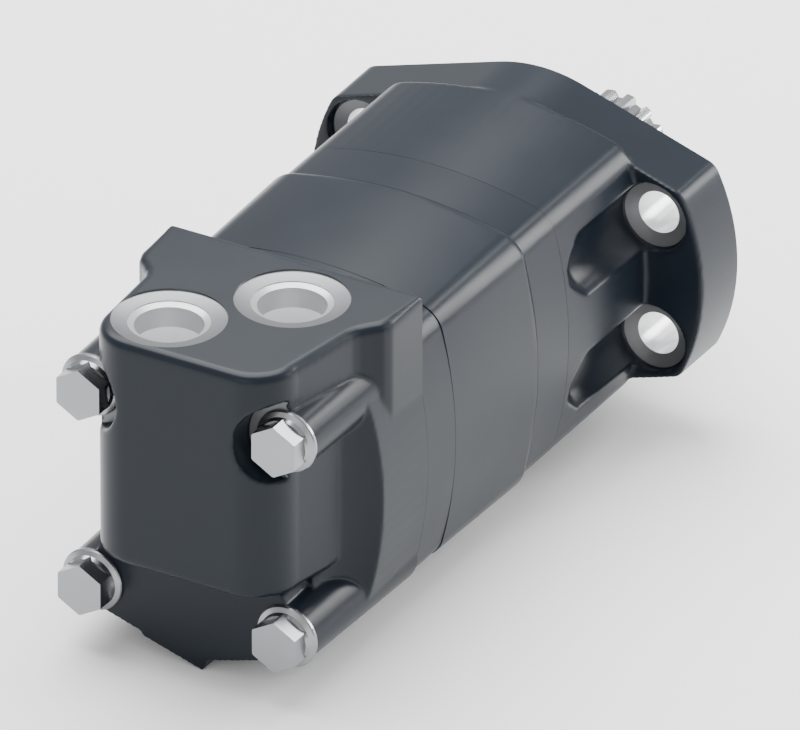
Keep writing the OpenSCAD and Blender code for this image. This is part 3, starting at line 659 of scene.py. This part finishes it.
screw = hexagon_prism(seat - HEAD_HEIGHT, seat - 1.5, HEAD_FLATS)
screw.name = "long_screw"
combine(screw, [
    turned("head_cone", [(seat - HEAD_HEIGHT, 8.08), (seat - 8.2, 8.3), (seat - 1, 8.6)]),
], "INTERSECT")
combine(screw, [
    turned("screw_flange", [(seat - 3.1, 7.6), (seat - 1.9, 8.2), (seat - 1.3, 9.6), (seat - 0.9, 9.88),
                            (seat, 9.8)]),
    turned("shank", [(seat - 2, 4.76), (-43, 4.76), (-42.05, 4.2)], steps=48),
], "UNION")
shade(screw)
print("one screw has", len(screw.data.polygons), "faces")

# %% [markdown]
# ## Copies by Geometry Nodes
#
# Equal pieces shouldn't be placed one by one. A node tree takes one item and sets it on points that follow
# a rule: the corners of a rectangle for the screws, equal steps round the shaft for bearing rollers and
# springs. Its sizes are named inputs, so another motor needs other numbers only. Both trees end alike:
# the copies become real mesh, which is what an export can read, and they get their finish.


# %% Helpers that build and use a node tree
def new_tree(name, sizes):
    """A tree whose inputs are the given sizes, the item to copy and its finish."""
    tree = bpy.data.node_groups.new(name, "GeometryNodeTree")
    wanted = sizes + [("Item", "NodeSocketObject", None), ("Finish", "NodeSocketMaterial", None)]
    inputs = {}
    for title, kind, value in wanted:
        socket = tree.interface.new_socket(name=title, in_out="INPUT", socket_type=kind)
        if value is not None:
            socket.default_value = value
        inputs[title] = socket.identifier
    tree.interface.new_socket(name="Geometry", in_out="OUTPUT", socket_type="NodeSocketGeometry")
    return tree, inputs


def end_tree(tree, given, points, turned_by=None):
    """Sets the item on the points, makes the copies real and gives them their finish."""
    source = tree.nodes.new("GeometryNodeObjectInfo")
    tree.links.new(given.outputs["Item"], source.inputs["Object"])
    placed = tree.nodes.new("GeometryNodeInstanceOnPoints")
    tree.links.new(points, placed.inputs["Points"])
    tree.links.new(source.outputs["Geometry"], placed.inputs["Instance"])
    if turned_by is not None:
        tree.links.new(turned_by, placed.inputs["Rotation"])
    real = tree.nodes.new("GeometryNodeRealizeInstances")
    tree.links.new(placed.outputs["Instances"], real.inputs["Geometry"])
    painted = tree.nodes.new("GeometryNodeSetMaterial")
    tree.links.new(real.outputs["Geometry"], painted.inputs["Geometry"])
    tree.links.new(given.outputs["Finish"], painted.inputs["Material"])
    result = tree.nodes.new("NodeGroupOutput")
    tree.links.new(painted.outputs["Geometry"], result.inputs["Geometry"])


def grown(name, tree, inputs, item, **values):
    """Runs a tree on an item, removes the item and returns the copies as one plain mesh."""
    piece = bpy.data.objects.new(name, bpy.data.meshes.new(name))
    bpy.context.scene.collection.objects.link(piece)
    step = piece.modifiers.new("grow", "NODES")
    step.node_group = tree
    step[inputs["Item"]] = item
    for title, value in values.items():
        step[inputs[title]] = value
    settle(piece)
    bpy.data.objects.remove(item)
    return piece


# %% The four screws, on the corners of a rectangle
corners, corner_inputs = new_tree("screw_corners", [("Across", "NodeSocketFloat", 0.065),
                                                    ("Up", "NodeSocketFloat", 0.065)])
given = corners.nodes.new("NodeGroupInput")
grid = corners.nodes.new("GeometryNodeMeshGrid")
grid.inputs["Vertices X"].default_value = 2
grid.inputs["Vertices Y"].default_value = 2
corners.links.new(given.outputs["Across"], grid.inputs["Size X"])
corners.links.new(given.outputs["Up"], grid.inputs["Size Y"])
stand = corners.nodes.new("GeometryNodeTransform")
stand.inputs["Rotation"].default_value = (math.pi / 2, 0, 0)
corners.links.new(grid.outputs["Mesh"], stand.inputs["Geometry"])
end_tree(corners, given, stand.outputs["Geometry"])

apart = 2 * BOLT_AT * MM
screws = grown("long_screws", corners, corner_inputs, screw, Across=apart, Up=apart, Finish=zinc_plate)
shade(screws)
dress(screws, zinc_plate, "root", "zinc_bolt", "housing_bolts")

# %% [markdown]
# ## Output shaft
#
# The shaft is turned from one bar, and a hob then cuts the fourteen teeth of its spline. The whole shaft
# is one loft: every station is a list of radii at the same angles, so round stretches and toothed ones
# can follow each other. The teeth run out towards the neck as a hob leaves them, and their tips are
# chamfered at the end. The toothed bore for the drive is cut in afterwards.

# %% Rings with teeth
SPLINE_TEETH = 14
DRIVE_TEETH = 12
TIP_R = 15.87
TOOTH_STEPS = 18
TOOTH_FOOT = 0.30
TOOTH_SHOULDER = 0.17


def tooth_height(share):
    """How much of the tooth's height stands at a place between one gap's middle and the next."""
    side = abs(share - 0.5) * 2
    return min(1, max(0, (0.66 - side) / 0.34)) ** 0.8


def shaft_ring(root, tip=None):
    count = SPLINE_TEETH * TOOTH_STEPS
    ring = []
    for i in range(count):
        rise = 0 if tip is None else (tip - root) * tooth_height((i % TOOTH_STEPS) / TOOTH_STEPS)
        turn = 2 * math.pi * (i - TOOTH_STEPS / 2) / count
        ring.append(((root + rise) * math.cos(turn), (root + rise) * math.sin(turn)))
    return ring


def toothed_bore(name, start, end, root=12.6, tip=14.6, sweep=0.60):
    tooth = ((-TOOTH_FOOT, root), (-TOOTH_SHOULDER, tip), (0, tip), (TOOTH_SHOULDER, tip),
             (TOOTH_FOOT, root), (0.5, root))
    points = []
    for i in range(DRIVE_TEETH):
        for offset, radius in tooth:
            flank = abs(offset) in (TOOTH_FOOT, TOOTH_SHOULDER)
            turn = 2 * math.pi * (i + offset) / DRIVE_TEETH
            turn += math.copysign(sweep / radius, offset) * flank
            points.append((radius * math.cos(turn), radius * math.sin(turn)))
    return loft(name, [(start, points), (end, points)])


print("a ring of the shaft has", len(shaft_ring(TIP_R)), "points")

# %% Shaft with its spline
shaft = loft("splined_shaft", [
    (-63.5, shaft_ring(22.0)), (-62.9, shaft_ring(22.58)), (-45.95, shaft_ring(22.58)),
    (-45.95, shaft_ring(24.4)), (-45.4, shaft_ring(25)), (-35.6, shaft_ring(25)), (-35.05, shaft_ring(24.4)),
    (-35.05, shaft_ring(17.43)), (11.6, shaft_ring(17.43)), (12.4, shaft_ring(17.2)),
    (14.6, shaft_ring(16.15)), (15.0, shaft_ring(15.8)), (15.0, shaft_ring(15.3, TIP_R)),
    (16.2, shaft_ring(14.4, TIP_R)), (17.6, shaft_ring(13.85, TIP_R)), (19.4, shaft_ring(13.6, TIP_R)),
    (47.0, shaft_ring(13.6, TIP_R)), (48.0, shaft_ring(13.2, 15.3))])
mouth = turned("mouth", [(-66, 18.0), (-63.5, 17.1), (-62, 14.9)])
end_hole = turned("end_hole", [(36, 4.2), (47.1, 4.2), (48, 5.1), (49, 5.1)])
drive_bore = toothed_bore("drive_bore", -66, -37.4)
combine(shaft, [drive_bore, joined("shaft_cuts", [mouth, end_hole])], "DIFFERENCE")
shade(shaft, 28)
dress(shaft, ground_steel, "shaft", "ground_steel", "output_shaft")

# %% [markdown]
# ## Geroler set
#
# Seven free rollers lie in the ring's pockets, and a star with six lobes rolls inside them. Its outline is
# a cycloid: the path that a circle's point follows, moved inwards by the roller's radius. The star's
# centre circles six times while the star turns once, and that makes the motor strong and slow. The star
# and its rollers get the fine chamfers that keep the edges of the real ones from chipping.

# %% Star and rollers
LOBES = 6
OFFSET = 3.0
SMALLER = 0.986
ROLLER = [(-129.75, 1.6), (-130.95, 2.2), (-130.95, 6.5), (-130.65, 6.8), (-83.35, 6.8), (-83.05, 6.5),
          (-83.05, 2.2), (-84.25, 1.6)]


def star_outline(roller=6.9, steps=288):
    points = []
    for i in range(steps):
        t = 2 * math.pi * i / steps - 0.85 * math.sin(2 * math.pi * i * LOBES / steps) / LOBES
        lean = math.atan2(-math.sin(LOBES * t), ROLLER_CIRCLE / (OFFSET * ROLLERS) - math.cos(LOBES * t))
        x = (OFFSET + ROLLER_CIRCLE * math.cos(t) - roller * math.cos(t + lean)
             - OFFSET * math.cos(ROLLERS * t))
        z = (ROLLER_CIRCLE * math.sin(t) - roller * math.sin(t + lean)
             - OFFSET * math.sin(ROLLERS * t))
        points.append((x, z))
    return points


outline = star_outline()
edge = [((x - OFFSET) * SMALLER + OFFSET, z * SMALLER) for x, z in outline]
star_piece = loft("orbiting_star", [(-130.95, edge), (-130.65, outline), (-83.35, outline), (-83.05, edge)])
star_bore = toothed_bore("star_bore", STATION["ring"] - 2, STATION["wear"] + 2)
star_bore.data.transform(Matrix.Translation((OFFSET * MM, 0, 0)))
combine(star_piece, [star_bore], "DIFFERENCE")
shade(star_piece, 28)
dress(star_piece, ground_steel, "star", "ground_steel", "star")
for number, place in enumerate(pockets, start=1):
    roller = shade(turned("pocket_roller_%d" % number, ROLLER, place, 64), 28)
    dress(roller, bearing_steel, "roller_%d" % number, "ground_steel", "roller_%d" % number)

# %% [markdown]
# ## Bearing rollers
#
# A taper bearing carries the shaft on a ring of cone-shaped rollers that lean towards the axis. One roller
# is turned, leaned and moved to its place. The second node tree then repeats it round the shaft: it makes
# as many points as copies, all on the axis, and turns each copy by its own number of equal steps.

# %% A node tree that repeats an item round the shaft
circle_of, circle_inputs = new_tree("round_the_shaft", [("Count", "NodeSocketInt", 16)])
given = circle_of.nodes.new("NodeGroupInput")
points = circle_of.nodes.new("GeometryNodeMeshLine")
points.inputs["Offset"].default_value = (0, 0, 0)
circle_of.links.new(given.outputs["Count"], points.inputs["Count"])
index = circle_of.nodes.new("GeometryNodeInputIndex")
step_size = circle_of.nodes.new("ShaderNodeMath")
step_size.operation = "DIVIDE"
step_size.inputs[0].default_value = 2 * math.pi
circle_of.links.new(given.outputs["Count"], step_size.inputs[1])
turn_by = circle_of.nodes.new("ShaderNodeMath")
turn_by.operation = "MULTIPLY"
circle_of.links.new(index.outputs["Index"], turn_by.inputs[0])
circle_of.links.new(step_size.outputs["Value"], turn_by.inputs[1])
about_y = circle_of.nodes.new("ShaderNodeCombineXYZ")
circle_of.links.new(turn_by.outputs["Value"], about_y.inputs["Y"])
end_tree(circle_of, given, points.outputs["Mesh"], about_y.outputs["Vector"])

# %% Rollers of both taper bearings
TAPER = math.radians(2)
LEAN = math.radians(10.5)
ROLLER_R = 2.95
ROLLER_CHAMFER = 0.25
LIP_ROOM = 6.2


def bearing_roller(pitch, width, back_face, direction):
    half = (width - LIP_ROOM) / 2
    slim = half * math.tan(TAPER)
    profile = [(-half, ROLLER_R - slim - ROLLER_CHAMFER), (-half + 0.3, ROLLER_R - slim),
               (half - 0.3, ROLLER_R + slim), (half, ROLLER_R + slim - ROLLER_CHAMFER)]
    item = turned("bearing_roller", profile, steps=24)
    lean = Matrix.Rotation(-LEAN, 4, "Z")
    item.data.transform(Matrix.Translation((pitch * MM, width / 2 * MM, 0)) @ lean)
    if direction < 0:
        item.data.transform(Matrix.Diagonal((1, -1, 1, 1)))
        item.data.flip_normals()
    item.data.transform(Matrix.Translation((0, back_face * MM, 0)))
    return item


BEARINGS = [("front", 23.45, 18, -17, -1, 16), ("rear", 28.5, 19, STATION["neck"], 1, 20)]
for name, pitch, width, back_face, direction, count in BEARINGS:
    item = bearing_roller(pitch, width, back_face, direction)
    rollers = grown(name + "_taper_rollers", circle_of, circle_inputs, item, Count=count,
                    Finish=bearing_steel)
    shade(rollers)
    dress(rollers, bearing_steel, name + "_roller_set", "bearing_steel", name + "_rollers")

# %% [markdown]
# ## Springs behind the balance ring
#
# Four small coil springs press the balance ring against the disc valve. The wire's path is a helix whose
# end turns lie flat, as on a spring that is closed at both ends. A ring of eight points is carried along
# the path for the wire, and the node tree sets four springs round the shaft.

# %% Balance springs
COIL_START = -180.98
COIL_END = -174.02
COIL_R = 2.3
WIRE_R = 0.45
WIRE_SIDES = 8
COIL_TURNS = 4
STEPS_A_TURN = 24
SPRING_CIRCLE = 26


def coil():
    steps = STEPS_A_TURN * COIL_TURNS
    along = Vector((0, 1, 0))
    vertices = []
    for i in range(steps + 1):
        share = i / steps
        rise = min(1, max(0, (share - 0.12) / 0.76))
        y = COIL_START + WIRE_R + (COIL_END - COIL_START - 2 * WIRE_R) * rise
        a = 2 * math.pi * COIL_TURNS * share
        middle = Vector((COIL_R * math.cos(a), y, -COIL_R * math.sin(a)))
        outward = Vector((math.cos(a), 0, -math.sin(a)))
        for k in range(WIRE_SIDES):
            b = 2 * math.pi * k / WIRE_SIDES
            point = middle + (outward * math.cos(b) + along * math.sin(b)) * WIRE_R
            vertices.append(tuple(point + Vector((SPRING_CIRCLE, 0, 0))))
    return new_piece("coil", vertices, skin_faces(WIRE_SIDES, steps + 1))


coils = grown("balance_coils", circle_of, circle_inputs, coil(), Count=4, Finish=hardened_steel)
shade(coils, 50)
dress(coils, hardened_steel, "root", "dark_steel", "balance_springs")

# %% [markdown]
# ## Pieces that the CAD already shows well
#
# The disc valve, the balance ring, the drives, the bearing races, the cages and the seals lie inside. Their
# CAD solids have the true shapes, so they keep them and only get their finish.

# %% Finish the inner pieces
FINISH_OF_SLOT = {"painted_casting": body_paint, "zinc_bolt": zinc_plate, "seal_rubber": seal_rubber,
                  "ground_steel": ground_steel, "bearing_steel": bearing_steel, "dark_steel": hardened_steel,
                  "balance_iron": balance_iron}
for part in frame["record"]["subparts"]:
    coated(frame["nodes"][part["node"]], FINISH_OF_SLOT[part["material_slot"]])

# %% [markdown]
# ## Floor
#
# The motor lies on a plain pale floor that reaches past every view. It has no pattern, so the eye stays on
# the motor, and it throws soft light back up at the painted sides.

# %% Floor
FLOOR_HALF = 4
low = min(corner[2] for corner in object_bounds())
floor_corners = [(x * FLOOR_HALF, y * FLOOR_HALF, low) for x, y in ((-1, -1), (1, -1), (1, 1), (-1, 1))]
floor_mesh = bpy.data.meshes.new("floor")
floor_mesh.from_pydata(floor_corners, [], [(0, 1, 2, 3)])
floor_mesh.materials.append(finish_of("pale_floor", (0.93, 0.93, 0.93), 0.0, 0.8, 200, 0.0, mottle=0.005))
floor = bpy.data.objects.new("floor", floor_mesh)
bpy.context.scene.collection.objects.link(floor)
floor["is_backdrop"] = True
print("the floor lies at", round(low, 4))

# %% [markdown]
# ## Light
#
# The photograph is a product picture on white: one broad light above and white surroundings that fill
# the shadows. Dark gloss paint shows its shape by what it mirrors. So narrow lights stand behind the
# motor, where the rounded corners and the flats of the screw heads mirror them towards the camera as
# bright lines.


# %% Lights and surroundings
def softbox(name, place, size, power):
    light = bpy.data.lights.new(name, "AREA")
    light.shape = "RECTANGLE"
    light.size, light.size_y = size
    light.energy = power
    box = bpy.data.objects.new(name, light)
    box.location = place
    box.rotation_euler = (Vector(place) - target).to_track_quat("Z", "Y").to_euler()
    bpy.context.scene.collection.objects.link(box)


softbox("overhead", (-0.35, 0.15, 1.1), (1.2, 1.2), 38)
softbox("right_strip", (0.95, 0.25, 0.35), (0.2, 0.9), 3)
softbox("back_strip", (0.72, 0.85, 0.42), (0.22, 0.7), 12)
softbox("head_light", (0.30, 0.69, 0.79), (0.15, 0.15), 1.6)
softbox("front_fill", (0.0, -1.4, 0.5), (0.9, 0.6), 2.5)
world = bpy.data.worlds.new("studio")
world.use_nodes = True
world.node_tree.nodes["Background"].inputs["Color"].default_value = (1, 1, 1, 1)
world.node_tree.nodes["Background"].inputs["Strength"].default_value = 0.95
bpy.context.scene.world = world
print("lights", len(bpy.data.lights))
